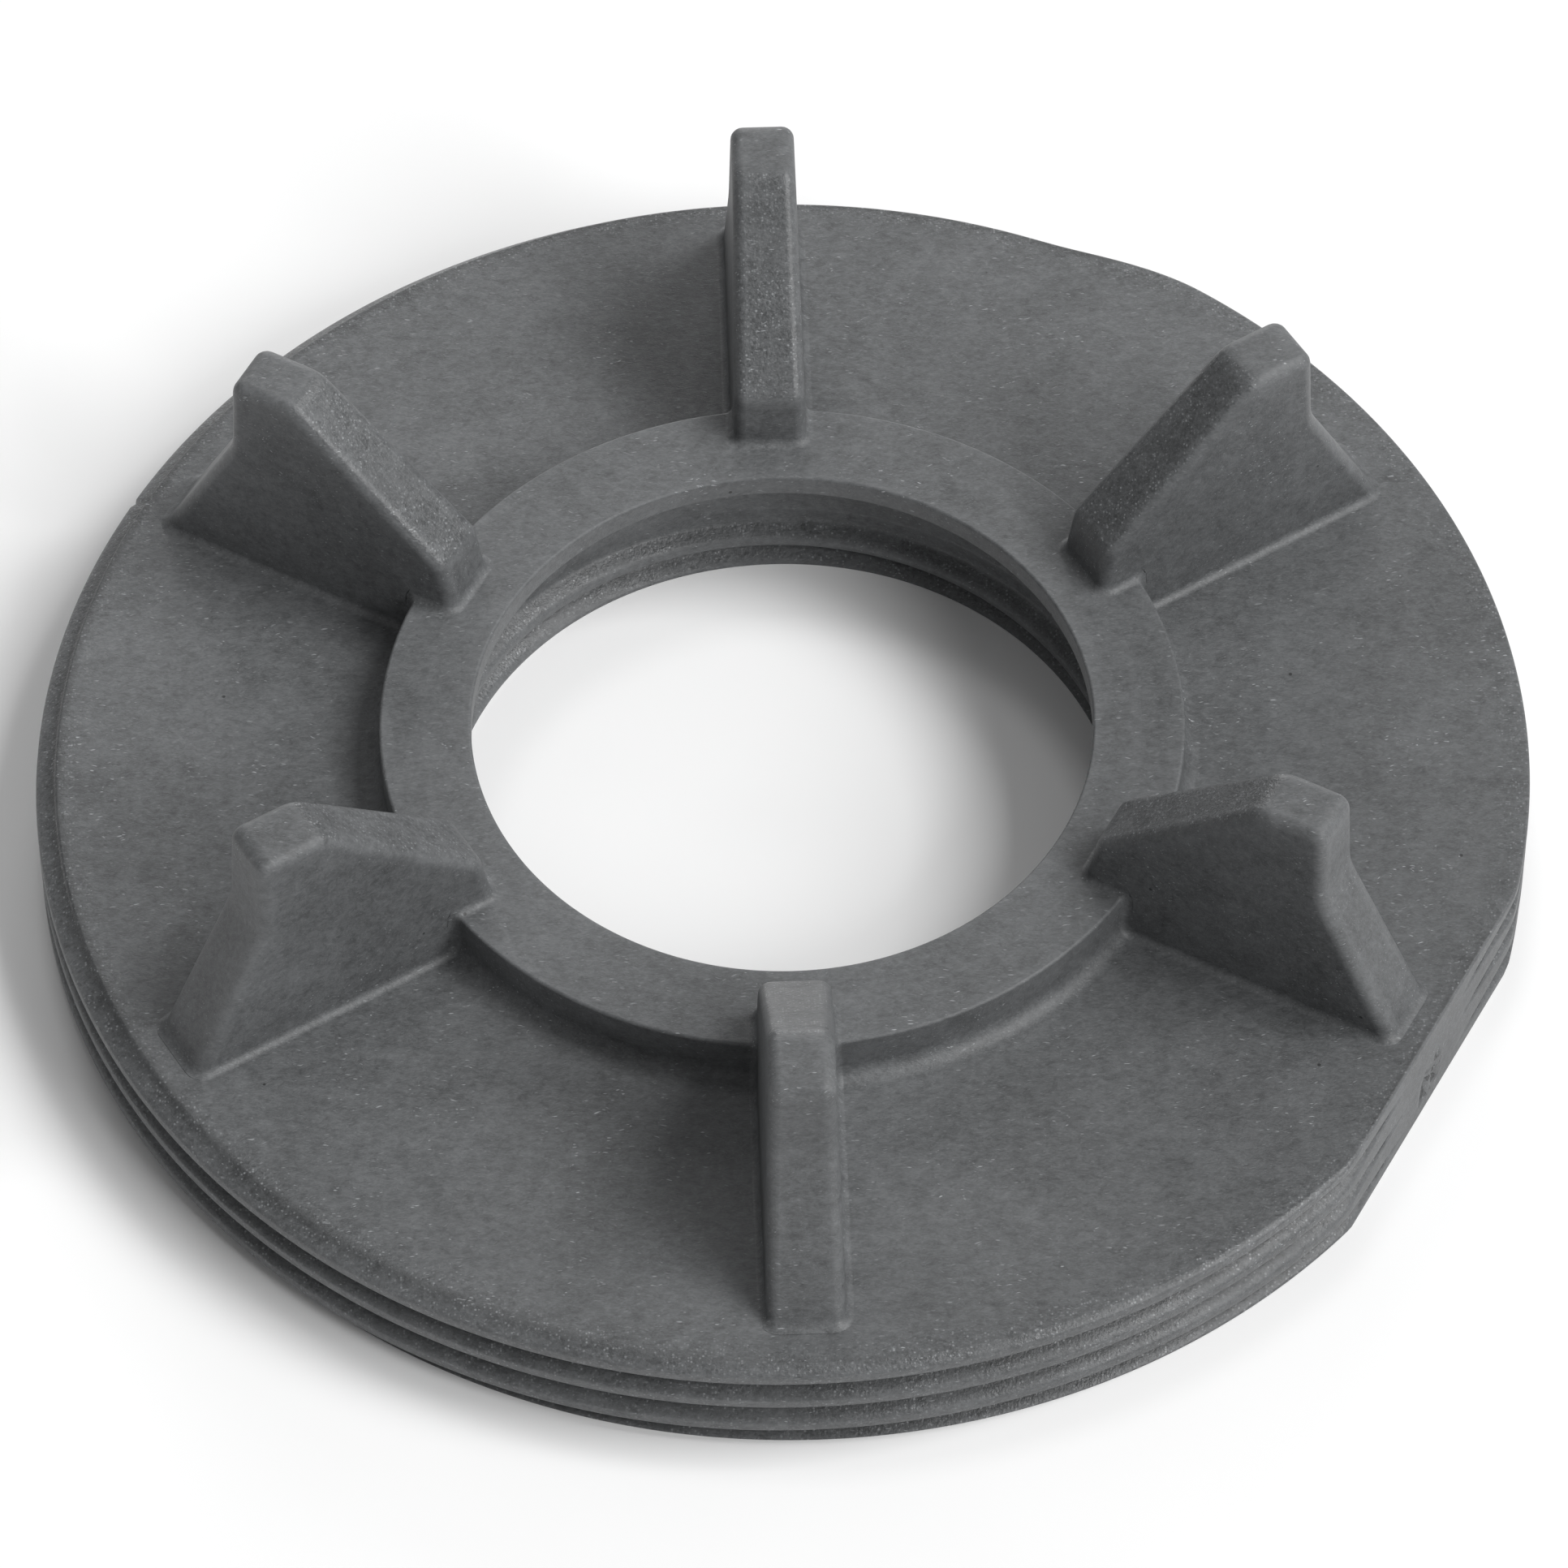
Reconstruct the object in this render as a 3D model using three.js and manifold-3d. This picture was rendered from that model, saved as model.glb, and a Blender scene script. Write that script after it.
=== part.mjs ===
// Threaded toilet flange: one moulded ring with a raised hub collar round its bore, an internal
// thread under a stop lip, an external thread on its rim and six wrench lugs on its web.
// The moulding is modelled zone by zone, each zone a closed solid of its own.
// Millimetres. +Z runs along the bore axis towards the lugs; the origin is the centre of the underside.
// Angles are in degrees from +X, anticlockwise seen from above.
import * as THREE from 'three';
import { mergeVertices } from 'three/addons/utils/BufferGeometryUtils.js';
import Module from 'manifold-3d';

// ---- driving dimensions ----
const RIM_DIAMETER = 114.3;      // over the external thread's crests
const THREAD_PITCH = 3;          // outside and inside, right-handed
const FLANK_TAN = Math.tan(THREE.MathUtils.degToRad(30));

const WEB_TOP = 9.3;             // top face of the web above the underside
const WEB_THICKNESS = 5.1;
const COLLAR_TOP = 13.55;
const LUG_TOP = 29.7;

const LIP_RADIUS = 23.7;         // clear bore through the stop lip
const LIP_THICKNESS = 2;
const RELIEF_RADIUS = 27.4;      // plain wall under the lip, level with the internal thread's root
const INNER_CREST_RADIUS = 26.05;
const INNER_CREST_FLAT = 0.8;
const INNER_CREST_HEIGHT = 2.7;  // the ridge's middle at the back, at 90 degrees
const INNER_START_ANGLE = 225;
const INNER_THREAD_TOP = 5.4;
const INNER_LAND_HEIGHT = 0.3;   // a plain land at the crest radius runs round the bore's lower edge

const COLLAR_RADIUS = 30.7;
const COLLAR_FILLET = 1.4;
const SLEEVE_RADIUS = 32.7;      // outside of the hub below the web's top face
const THREAD_SEAT_RADIUS = 29.3; // where the bore's thread zone meets the hub

const RIM_INNER_RADIUS = 50.6;
const RIM_THREAD_DEPTH = 1.5;
const RIM_CREST_FLAT = 0.95;
const RIM_CREST_HEIGHT = 8.35;   // the ridge's middle at the front, at 270 degrees
const RIM_START_ANGLE = 427.5;   // the ridge starts at the top face, at 67.5 degrees
const RIM_FOOT_RADIUS = 56.85;   // the crests are chamfered down to this at the underside
const GATE_FLAT_DISTANCE = 55.35; // from the axis to the flat on the rim
const GATE_FLAT_ANGLE = 330;

const START_TAPER = 15;          // a ridge rises to its full height over this many degrees
const RIDGE_ROOTING = 0.1;       // how deep a ridge's base is buried in its wall

const LUG_COUNT = 6;
const FIRST_LUG_ANGLE = 270;
const LUG_TOP_WIDTH = 4.9;
const LUG_BASE_WIDTH = 5.9;      // at the web's top face
const LUG_INNER_RADIUS = 27.1;
const LUG_INNER_HEIGHT = 17.9;   // where the sloping top would meet the inner end
const LUG_INNER_ROUND = 1.5;
const LUG_KNEE_RADIUS = 40.9;    // where the sloping top would meet the level tip
const LUG_KNEE_ROUND = 3;
const LUG_TIP_RADIUS = 46.4;
const LUG_TIP_ROUND = 1.2;
const LUG_SHOULDER_HEIGHT = 22.2; // the outer end drops straight to here, then slopes out
const LUG_SHOULDER_ROUND = 5;
const LUG_FOOT_RADIUS = 53.2;

const RIB_WIDTH = 4;

const GAP = 0.3;                 // clearance kept between neighbouring zones
const SEGMENTS = 96;             // facets round a full turn
const ARC_STEPS = 3;             // facets in a rounded corner

const plastic = new THREE.MeshStandardMaterial({ color: 0x5c5d5f, roughness: 0.62, metalness: 0 });

const wasm = await Module();
wasm.setup();

// ---- helpers ----
function toSolid(geometry) {
  geometry.deleteAttribute('normal');
  geometry.deleteAttribute('uv');
  const merged = mergeVertices(geometry, 1e-4);
  return new wasm.Manifold(new wasm.Mesh({
    numProp: 3,
    vertProperties: new Float32Array(merged.attributes.position.array),
    triVerts: new Uint32Array(merged.index.array),
  }));
}

function toGeometry(solid) {
  const mesh = solid.getMesh();
  const geometry = new THREE.BufferGeometry();
  geometry.setAttribute('position', new THREE.BufferAttribute(mesh.vertProperties, 3));
  geometry.setIndex(new THREE.BufferAttribute(mesh.triVerts, 1));
  geometry.computeVertexNormals();
  return geometry;
}

function zoneMesh(name, geometry) {
  const mesh = new THREE.Mesh(geometry, plastic);
  mesh.name = name;
  return mesh;
}

// A closed ring: the profile is a loop of [radius, height] pairs, anticlockwise.
function ringGeometry(profile) {
  const loop = [...profile, profile[0]].map(([radius, height]) => new THREE.Vector2(radius, height));
  return new THREE.LatheGeometry(loop, SEGMENTS).rotateX(Math.PI / 2);
}

function plainRing(innerRadius, outerRadius, low, high) {
  return ringGeometry([[innerRadius, low], [outerRadius, low], [outerRadius, high], [innerRadius, high]]);
}

// An arc about a centre, as [x, y] pairs.
function arc(centreX, centreY, radius, fromDegrees, toDegrees) {
  const points = [];
  for (let i = 0; i <= ARC_STEPS; i++) {
    const angle = THREE.MathUtils.degToRad(THREE.MathUtils.lerp(fromDegrees, toDegrees, i / ARC_STEPS));
    points.push([centreX + radius * Math.cos(angle), centreY + radius * Math.sin(angle)]);
  }
  return points;
}

// An outline's corner at a point, rounded with a radius between its two neighbouring points.
function roundedCorner(before, corner, after, radius) {
  const point = new THREE.Vector2(...corner);
  const toBefore = new THREE.Vector2(...before).sub(point).normalize();
  const toAfter = new THREE.Vector2(...after).sub(point).normalize();
  const halfAngle = Math.acos(toBefore.dot(toAfter)) / 2;
  const middle = toBefore.clone().add(toAfter).normalize();
  const centre = point.clone().addScaledVector(middle, radius / Math.sin(halfAngle));
  const setback = radius / Math.tan(halfAngle);
  const start = point.clone().addScaledVector(toBefore, setback).sub(centre);
  const end = point.clone().addScaledVector(toAfter, setback).sub(centre);
  const fromDegrees = THREE.MathUtils.radToDeg(Math.atan2(start.y, start.x));
  let sweep = THREE.MathUtils.radToDeg(Math.atan2(end.y, end.x)) - fromDegrees;
  sweep -= 360 * Math.round(sweep / 360);
  return arc(centre.x, centre.y, radius, fromDegrees, fromDegrees + sweep);
}

// One thread ridge: a trapezoid swept down a right-hand helix from startAngle, tapered at its start.
// Its base is buried in the wall, and it runs on past the underside, to be cut there.
// crestHeight is the height of the ridge's middle at crestAngle.
function screwRidge({ rootRadius, crestRadius, crestFlat, crestHeight, crestAngle, startAngle }) {
  const columnAngle = 360 / SEGMENTS;
  const inward = crestRadius < rootRadius;
  const heightAt = (angle) => crestHeight + (THREAD_PITCH * (angle - crestAngle)) / 360;
  const columns = Math.ceil(((heightAt(startAngle) + THREAD_PITCH) / THREAD_PITCH) * SEGMENTS);
  const positions = [];
  for (let column = 0; column <= columns; column++) {
    const angle = startAngle - column * columnAngle;
    const rise = Math.min(1, (column * columnAngle) / START_TAPER);
    const depth = (crestRadius - rootRadius) * rise;
    const buried = inward ? RIDGE_ROOTING : -RIDGE_ROOTING;
    const crestHalf = crestFlat / 2;
    const baseHalf = crestHalf + (Math.abs(depth) + RIDGE_ROOTING) * FLANK_TAN;
    const section = [
      [rootRadius + buried, -baseHalf],
      [rootRadius + depth, -crestHalf],
      [rootRadius + depth, crestHalf],
      [rootRadius + buried, baseHalf],
    ];
    const radians = THREE.MathUtils.degToRad(angle);
    for (const [radius, height] of section) {
      positions.push(radius * Math.cos(radians), radius * Math.sin(radians), heightAt(angle) + height);
    }
  }
  const index = [];
  const addTriangle = (a, b, c) => index.push(...(inward ? [a, b, c] : [a, c, b]));
  for (let column = 0; column < columns; column++) {
    for (let side = 0; side < 4; side++) {
      const a = column * 4 + side;
      const b = column * 4 + ((side + 1) % 4);
      addTriangle(a, a + 4, b + 4);
      addTriangle(a, b + 4, b);
    }
  }
  const last = columns * 4;
  addTriangle(0, 1, 2);
  addTriangle(0, 2, 3);
  addTriangle(last, last + 2, last + 1);
  addTriangle(last, last + 3, last + 2);
  const geometry = new THREE.BufferGeometry();
  geometry.setAttribute('position', new THREE.Float32BufferAttribute(positions, 3));
  geometry.setIndex(index);
  return toSolid(geometry);
}

// ---- zones ----
// The stop lip that narrows the top of the bore.
function boreLip() {
  const low = COLLAR_TOP - LIP_THICKNESS;
  return zoneMesh('bore_lip', plainRing(LIP_RADIUS, RELIEF_RADIUS - GAP, low, COLLAR_TOP));
}

// The hub's wall: plain relief inside, raised collar with a filleted foot outside.
function hubCollar() {
  const foot = arc(COLLAR_RADIUS + COLLAR_FILLET, WEB_TOP + COLLAR_FILLET, COLLAR_FILLET, 270, 180);
  const profile = [
    [THREAD_SEAT_RADIUS, 0],
    [SLEEVE_RADIUS, 0],
    [SLEEVE_RADIUS, WEB_TOP],
    ...foot,
    [COLLAR_RADIUS, COLLAR_TOP],
    [RELIEF_RADIUS, COLLAR_TOP],
    [RELIEF_RADIUS, INNER_THREAD_TOP],
    [THREAD_SEAT_RADIUS, INNER_THREAD_TOP],
  ];
  return zoneMesh('hub_collar', ringGeometry(profile));
}

// The internal thread at the bottom of the bore, with a plain land under it.
function boreThread() {
  const top = INNER_THREAD_TOP - GAP;
  const outer = THREAD_SEAT_RADIUS - GAP;
  const rooted = RELIEF_RADIUS + RIDGE_ROOTING;
  const wall = toSolid(plainRing(RELIEF_RADIUS, outer, 0, top));
  const land = toSolid(ringGeometry([
    [INNER_CREST_RADIUS, 0],
    [rooted, 0],
    [rooted, INNER_LAND_HEIGHT + (rooted - INNER_CREST_RADIUS) * FLANK_TAN],
    [INNER_CREST_RADIUS, INNER_LAND_HEIGHT],
  ]));
  const zone = toSolid(plainRing(LIP_RADIUS, outer, 0, top));
  const ridge = screwRidge({
    rootRadius: RELIEF_RADIUS,
    crestRadius: INNER_CREST_RADIUS,
    crestFlat: INNER_CREST_FLAT,
    crestHeight: INNER_CREST_HEIGHT,
    crestAngle: 90,
    startAngle: INNER_START_ANGLE,
  });
  return zoneMesh('bore_thread', toGeometry(wall.add(land).add(ridge.intersect(zone))));
}

// The flat annular web between the hub and the threaded rim.
function webDisc() {
  const low = WEB_TOP - WEB_THICKNESS;
  return zoneMesh('web_disc', plainRing(SLEEVE_RADIUS + GAP, RIM_INNER_RADIUS - GAP, low, WEB_TOP));
}

// The rim with its external thread, cut flat at the moulding gate.
function rimThread() {
  const crestRadius = RIM_DIAMETER / 2;
  const rootRadius = crestRadius - RIM_THREAD_DEPTH;
  const wall = toSolid(plainRing(RIM_INNER_RADIUS, rootRadius, 0, WEB_TOP));
  const outside = crestRadius + 1;
  const zone = toSolid(ringGeometry([
    [RIM_INNER_RADIUS, 0],
    [RIM_FOOT_RADIUS, 0],
    [outside, outside - RIM_FOOT_RADIUS],
    [outside, WEB_TOP],
    [RIM_INNER_RADIUS, WEB_TOP],
  ]));
  const ridge = screwRidge({
    rootRadius,
    crestRadius,
    crestFlat: RIM_CREST_FLAT,
    crestHeight: RIM_CREST_HEIGHT,
    crestAngle: 270,
    startAngle: RIM_START_ANGLE,
  });
  const cutterDepth = 10;
  const cutter = new THREE.BoxGeometry(cutterDepth, RIM_DIAMETER, 4 * WEB_TOP)
    .translate(GATE_FLAT_DISTANCE + cutterDepth / 2, 0, 0)
    .rotateZ(THREE.MathUtils.degToRad(GATE_FLAT_ANGLE));
  return zoneMesh('rim_thread', toGeometry(wall.add(ridge.intersect(zone)).subtract(toSolid(cutter))));
}

// A lug's side view, as [radius, height] pairs, anticlockwise from its inner end on the collar.
function lugOutline() {
  const base = WEB_TOP + GAP;
  const seat = COLLAR_TOP + GAP;
  const collarSide = COLLAR_RADIUS + GAP;
  const innerEnd = [LUG_INNER_RADIUS, seat];
  const innerTop = [LUG_INNER_RADIUS + LUG_INNER_ROUND / 2, LUG_INNER_HEIGHT];
  const knee = [LUG_KNEE_RADIUS, LUG_TOP];
  const tip = [LUG_TIP_RADIUS, LUG_TOP];
  const shoulder = [LUG_TIP_RADIUS + LUG_TIP_ROUND / 4, LUG_SHOULDER_HEIGHT];
  const foot = [LUG_FOOT_RADIUS, base];
  return [
    innerEnd,
    [collarSide, seat],
    [collarSide, base + COLLAR_FILLET],
    [collarSide + COLLAR_FILLET, base],
    foot,
    ...roundedCorner(foot, shoulder, tip, LUG_SHOULDER_ROUND),
    ...roundedCorner(shoulder, tip, knee, LUG_TIP_ROUND),
    ...roundedCorner(tip, knee, innerTop, LUG_KNEE_ROUND),
    ...roundedCorner(knee, innerTop, innerEnd, LUG_INNER_ROUND),
  ];
}

// A lug is its side view given a width that narrows upwards, then turned to its place.
function wrenchLug(number) {
  const outline = new THREE.Shape(lugOutline().map(([x, y]) => new THREE.Vector2(x, y)));
  const geometry = new THREE.ExtrudeGeometry(outline, { depth: 1, bevelEnabled: false })
    .translate(0, 0, -0.5)
    .rotateX(Math.PI / 2);
  const position = geometry.attributes.position;
  for (let i = 0; i < position.count; i++) {
    const rise = (position.getZ(i) - WEB_TOP) / (LUG_TOP - WEB_TOP);
    position.setY(i, position.getY(i) * THREE.MathUtils.lerp(LUG_BASE_WIDTH, LUG_TOP_WIDTH, rise));
  }
  const mesh = zoneMesh(`wrench_lug_${number}`, geometry);
  mesh.rotation.z = THREE.MathUtils.degToRad(FIRST_LUG_ANGLE + ((number - 1) * 360) / LUG_COUNT);
  return mesh;
}

// A rib that stiffens the web from below, under a lug.
function underRib(number) {
  const inner = SLEEVE_RADIUS + GAP;
  const outer = RIM_INNER_RADIUS - 2 * GAP;
  const height = WEB_TOP - WEB_THICKNESS - GAP;
  const geometry = new THREE.BoxGeometry(outer - inner, RIB_WIDTH, height)
    .translate((inner + outer) / 2, 0, height / 2);
  const mesh = zoneMesh(`under_rib_${number}`, geometry);
  mesh.rotation.z = THREE.MathUtils.degToRad(FIRST_LUG_ANGLE + ((number - 1) * 360) / LUG_COUNT);
  return mesh;
}

const flange = new THREE.Group();
flange.add(boreLip(), hubCollar(), boreThread(), webDisc(), rimThread());
for (let number = 1; number <= LUG_COUNT; number++) {
  flange.add(wrenchLug(number), underRib(number));
}

export default flange;
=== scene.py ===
import math

import bpy
import numpy as np
from mathutils import Matrix, Vector


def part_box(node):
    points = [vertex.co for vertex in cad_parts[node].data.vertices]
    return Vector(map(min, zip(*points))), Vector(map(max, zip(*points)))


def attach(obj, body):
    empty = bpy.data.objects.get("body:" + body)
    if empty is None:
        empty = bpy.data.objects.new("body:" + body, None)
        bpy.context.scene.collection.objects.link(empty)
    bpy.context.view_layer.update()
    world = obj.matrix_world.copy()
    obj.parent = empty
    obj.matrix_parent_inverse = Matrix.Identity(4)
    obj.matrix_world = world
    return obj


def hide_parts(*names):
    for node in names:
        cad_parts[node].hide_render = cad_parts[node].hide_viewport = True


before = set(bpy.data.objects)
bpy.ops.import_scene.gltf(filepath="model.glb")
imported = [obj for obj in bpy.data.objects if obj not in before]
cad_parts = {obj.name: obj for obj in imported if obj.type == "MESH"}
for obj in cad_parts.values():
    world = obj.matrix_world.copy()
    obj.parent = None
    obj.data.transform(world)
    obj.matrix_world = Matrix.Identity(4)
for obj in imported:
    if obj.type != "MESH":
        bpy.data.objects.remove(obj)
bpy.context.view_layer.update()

MM = 0.001
TURN = 360.0

# ---- sizes that the CAD nodes give ----


def node_points(name):
    """A CAD node's vertices in millimetres."""
    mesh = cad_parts[name].data
    points = np.zeros(len(mesh.vertices) * 3, np.float32)
    mesh.vertices.foreach_get("co", points)
    return points.reshape(-1, 3).astype(float) / MM


def node_radii(name):
    """Smallest and largest distance of a CAD node's vertices from the bore's axis."""
    points = node_points(name)
    radius = np.hypot(points[:, 0], points[:, 1])
    return radius.min(), radius.max()


def node_heights(name):
    low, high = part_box(name)
    return low.z / MM, high.z / MM


LIP_RADIUS = node_radii("bore_lip")[0]
LIP_LOW, COLLAR_TOP = node_heights("bore_lip")
WEB_LOW, WEB_TOP = node_heights("web_disc")
RIM_RADIUS = node_radii("rim_thread")[1]
RIM_INNER_RADIUS = node_radii("rim_thread")[0]
INNER_CREST_RADIUS = node_radii("bore_thread")[0]
LUG_TOP = node_heights("wrench_lug_1")[1]

# ---- sizes of the moulding's details, in millimetres and degrees ----
COLUMNS = 720                   # facets round a full turn
PITCH = 3.0
FLANK_TAN = math.tan(math.radians(30.0))
THREAD_SOFTNESS = 0.28          # how far a thread's corners are rounded off
START_TAPER = 15.0              # a ridge rises to its full height over this many degrees
RIM_THREAD_DEPTH = 1.5
RELIEF_RADIUS = 27.4            # plain wall above the bore's thread, level with its root

# Each thread has its crest's width, the height of its ridge's middle at one angle, and the unrolled
# angle at which the ridge starts.
RIM_THREAD = {"root": RIM_RADIUS - RIM_THREAD_DEPTH, "crest": RIM_RADIUS, "flat": 0.95,
              "height": 8.35, "height_angle": 270.0, "start": 427.5}
BORE_THREAD = {"root": RELIEF_RADIUS, "crest": INNER_CREST_RADIUS, "flat": 0.8,
               "height": 2.7, "height_angle": 90.0, "start": 225.0}
BORE_THREAD_TOP = 5.4
THREAD_SEAT_RADIUS = 29.3       # where the bore's thread zone meets the hub
BORE_LAND_HEIGHT = 0.3          # a plain land runs round the bore's lower edge
RIM_FOOT_RADIUS = 56.85         # the rim's crests are chamfered down to this at the underside
NO_LIMIT = 1e3                  # a radius that nothing reaches

GATE_DISTANCE = 55.35           # the flat on the rim, where the gate was cut off
GATE_ANGLE = 330.0
GATE_HEIGHT = 3.2
GATE_PIT_RADIUS = 0.36
GATE_PITS_REACH = 3.0           # all pits lie this near the flat's middle
GATE_PITS = [                   # across the flat from its middle, above the gate's middle, depth
    (-1.3, -1.4, 0.5), (-1.2, -0.7, 0.34), (-1.0, -0.1, 0.4), (-1.1, 0.5, 0.3), (-0.8, 1.1, 0.3),
    (0.4, -0.2, 0.26), (0.6, 0.6, 0.34), (0.8, 1.4, 0.26), (1.1, 0.1, 0.2),
]
PARTING_ANGLE = 151.0           # a nick in the rim where the mould's halves met
PARTING_REACH = 0.4
PARTING_DEPTH = 0.22

COLLAR_RADIUS = 30.7
COLLAR_FOOT_FILLET = 1.4
COLLAR_EDGE = 0.25              # rounding of the collar's top edge
SLEEVE_RADIUS = 32.7            # the hub's outside under the web
UNDER_FILLET = 1.0
EDGE = 0.25                     # rounding of the other edges
UNDER_EDGE = 0.08               # rounding of the threads' lower edges

LUG_ANGLES = [270.0 + 60.0 * i for i in range(6)]
LUG_HALF_TOP = 2.45             # half a lug's width at its top and where it meets the web
LUG_HALF_BASE = 2.95
LUG_EDGE = 0.95                 # rounding along a lug's edges
LUG_FILLET = 0.65               # fillet between a lug and what it stands on
LUG_SINK = 0.004                # the fillet's edge lies this far under the web, so that no gap shows
LUG_INNER_RADIUS = 27.1
LUG_FOOT_RADIUS = 53.2
LUG_DEPTH = 4.0                 # the lug's sides run on this far into the moulding
LUG_CORNERS = [                 # the side view from the inner end to the foot, as radius, height, rounding
    (LUG_INNER_RADIUS, COLLAR_TOP),
    (LUG_INNER_RADIUS + 0.75, 17.9, 1.5),
    (40.9, LUG_TOP, 3.0),
    (46.4, LUG_TOP, 1.2),
    (46.7, 22.2, 5.0),
    (LUG_FOOT_RADIUS, WEB_TOP),
]

RIB_HALF_WIDTH = 2.0
RIB_EDGE = 0.5
RIB_SINK = 0.6                  # a rib runs this far into the web, the hub and the rim

# How coarse the plastic's grain is, from 0 on polished faces to 1 on cut ones. Above 1 it lies in a groove of
# the rim, whose colour gets painted shade.
GRAIN_POLISHED = 0.1
GRAIN_UNDERSIDE = 0.2
GRAIN_LUG = 0.25
GRAIN_FINE = 0.3
GRAIN_WEB_EDGE = 0.35
GRAIN_CREST = 0.75
GRAIN_RIM_EDGE = 0.85
GRAIN_COARSE = 1.0
GRAIN_GROOVE_SHADE = 1.5
BORE_FLANK_INSET = 0.1          # the bore's coarse flanks stop this far from crest and root
SHALLOW = 0.12                  # a wall this near the crests' radius or the gate flat counts as lying on it
GROOVE_SHADE_START = 0.6              # painted shade in the rim's grooves starts at this depth, full at the next
GROOVE_SHADE_END = 1.4


def arc(centre, radius, start, end, steps):
    """Points along an arc, from one angle in degrees to another."""
    angles = np.radians(np.linspace(start, end, steps + 1))
    return [(centre[0] + radius * math.cos(a), centre[1] + radius * math.sin(a)) for a in angles]


# ---- meshes ----
def make_object(name, vertices, faces, hidden, grain=None, normals=None):
    """A closed mesh with smooth, area-weighted normals. Faces flagged hidden lie inside the moulding.
    The mesh carries how far each point is on an edge or in a hollow, and how coarse its grain is, above 1 in
    the rim's grooves, which get painted shade."""
    mesh = bpy.data.meshes.new(name)
    mesh.from_pydata((vertices * MM).tolist(), [], faces)
    mesh.update()
    counts = np.array([len(f) for f in faces])
    corners = np.concatenate([np.asarray(f) for f in faces])
    face_of_corner = np.repeat(np.arange(len(faces)), counts)
    face_normal = np.zeros(len(faces) * 3, np.float32)
    mesh.polygons.foreach_get("normal", face_normal)
    face_normal = face_normal.reshape(-1, 3).astype(float)
    area = np.zeros(len(faces), np.float32)
    mesh.polygons.foreach_get("area", area)
    shown = ~np.asarray(hidden)
    if normals is None:
        normals = np.zeros((len(vertices), 3))
        weight = (area * shown)[face_of_corner]
        np.add.at(normals, corners, face_normal[face_of_corner] * weight[:, None])
    length = np.linalg.norm(normals, axis=1)
    normals = normals / np.where(length > 0, length, 1.0)[:, None]
    corner_normals = normals[corners]
    own = ~shown[face_of_corner] | (length[corners] == 0)
    corner_normals[own] = face_normal[face_of_corner][own]
    mesh.polygons.foreach_set("use_smooth", np.ones(len(faces), bool))
    mesh.normals_split_custom_set(corner_normals.tolist())
    bend = edge_bend(mesh, vertices, normals)
    for label, values in (("edge", np.clip(bend, 0, 1)), ("hollow", np.clip(-bend, 0, 1)),
                          ("grain", np.zeros(len(vertices)) if grain is None else grain)):
        attribute = mesh.attributes.new(label, "FLOAT", "POINT")
        attribute.data.foreach_set("value", values.astype(np.float32))
    piece = bpy.data.objects.new(name, mesh)
    bpy.context.scene.collection.objects.link(piece)
    return piece


def edge_bend(mesh, vertices, normals):
    """How sharply the surface bends at each vertex: 1 on an outer edge, -1 in an inner corner."""
    edges = np.zeros(len(mesh.edges) * 2, np.int32)
    mesh.edges.foreach_get("vertices", edges)
    a, b = edges.reshape(-1, 2).T
    step = vertices[b] - vertices[a]
    length = np.maximum(np.linalg.norm(step, axis=1), 1e-3)
    turn = ((normals[b] - normals[a]) * step).sum(axis=1) / length ** 2
    bend = np.zeros(len(vertices))
    np.maximum.at(bend, a, turn)
    np.maximum.at(bend, b, turn)
    hollow = np.zeros(len(vertices))
    np.minimum.at(hollow, a, turn)
    np.minimum.at(hollow, b, turn)
    return np.where(bend > -hollow, bend, hollow)


def ring_piece(name, sections, seams, grain=None):
    """A ring swept round the bore's axis. sections holds, for each column and the first one again,
    a closed loop of (radius, height), anticlockwise. A stretch between two seam points lies inside
    the moulding, where the ring meets its neighbour."""
    columns, rows = sections.shape[0] - 1, sections.shape[1]
    angle = np.radians(np.arange(columns + 1) % columns * TURN / columns)
    radius, height = sections[:, :, 0], sections[:, :, 1]
    points = np.stack([radius * np.cos(angle)[:, None], radius * np.sin(angle)[:, None], height], axis=2)
    points = points.reshape(-1, 3)
    keys = np.round(points, 6)
    _, first, inverse = np.unique(keys, axis=0, return_index=True, return_inverse=True)
    inverse = inverse.reshape(-1)
    column, row = np.meshgrid(np.arange(columns), np.arange(rows), indexing="ij")
    following = (row + 1) % rows
    quads = np.stack([column * rows + row, (column + 1) * rows + row,
                      (column + 1) * rows + following, column * rows + following], axis=2)
    quads = inverse[quads.reshape(-1, 4)]
    at_seam = np.array([any(math.dist(point, seam) < 1e-3 for seam in seams) for point in sections[0]])
    hidden = (at_seam & np.roll(at_seam, -1))[row].reshape(-1)
    faces, flags = [], []
    for quad, flag in zip(quads.tolist(), hidden.tolist()):
        face = [p for i, p in enumerate(quad) if p != quad[i - 1]]
        if len(set(face)) == len(face) > 2:
            faces.append(face)
            flags.append(flag)
    spread = None if grain is None else grain.reshape(-1)[first]
    return make_object(name, points[first], faces, flags, spread)


def plain_ring(name, loop, seams):
    """A ring with the same section all round."""
    return ring_piece(name, np.broadcast_to(np.array(loop), (COLUMNS + 1, len(loop), 2)), seams)


# ---- threads ----
def soft_min(a, b, softness):
    """The smaller of two values, passing gently from one to the other."""
    blend = np.clip(0.5 + 0.5 * (b - a) / softness, 0, 1)
    return b + (a - b) * blend - softness * blend * (1 - blend)


def soft_max(a, b, softness):
    return -soft_min(-a, -b, softness)


def gate_limit(angle):
    """How far from the axis the flat on the rim lies, at an angle in degrees."""
    offset = np.radians((angle - GATE_ANGLE + TURN / 2) % TURN - TURN / 2)
    return np.where(np.abs(offset) < 0.5, GATE_DISTANCE / np.cos(offset), NO_LIMIT)


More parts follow.
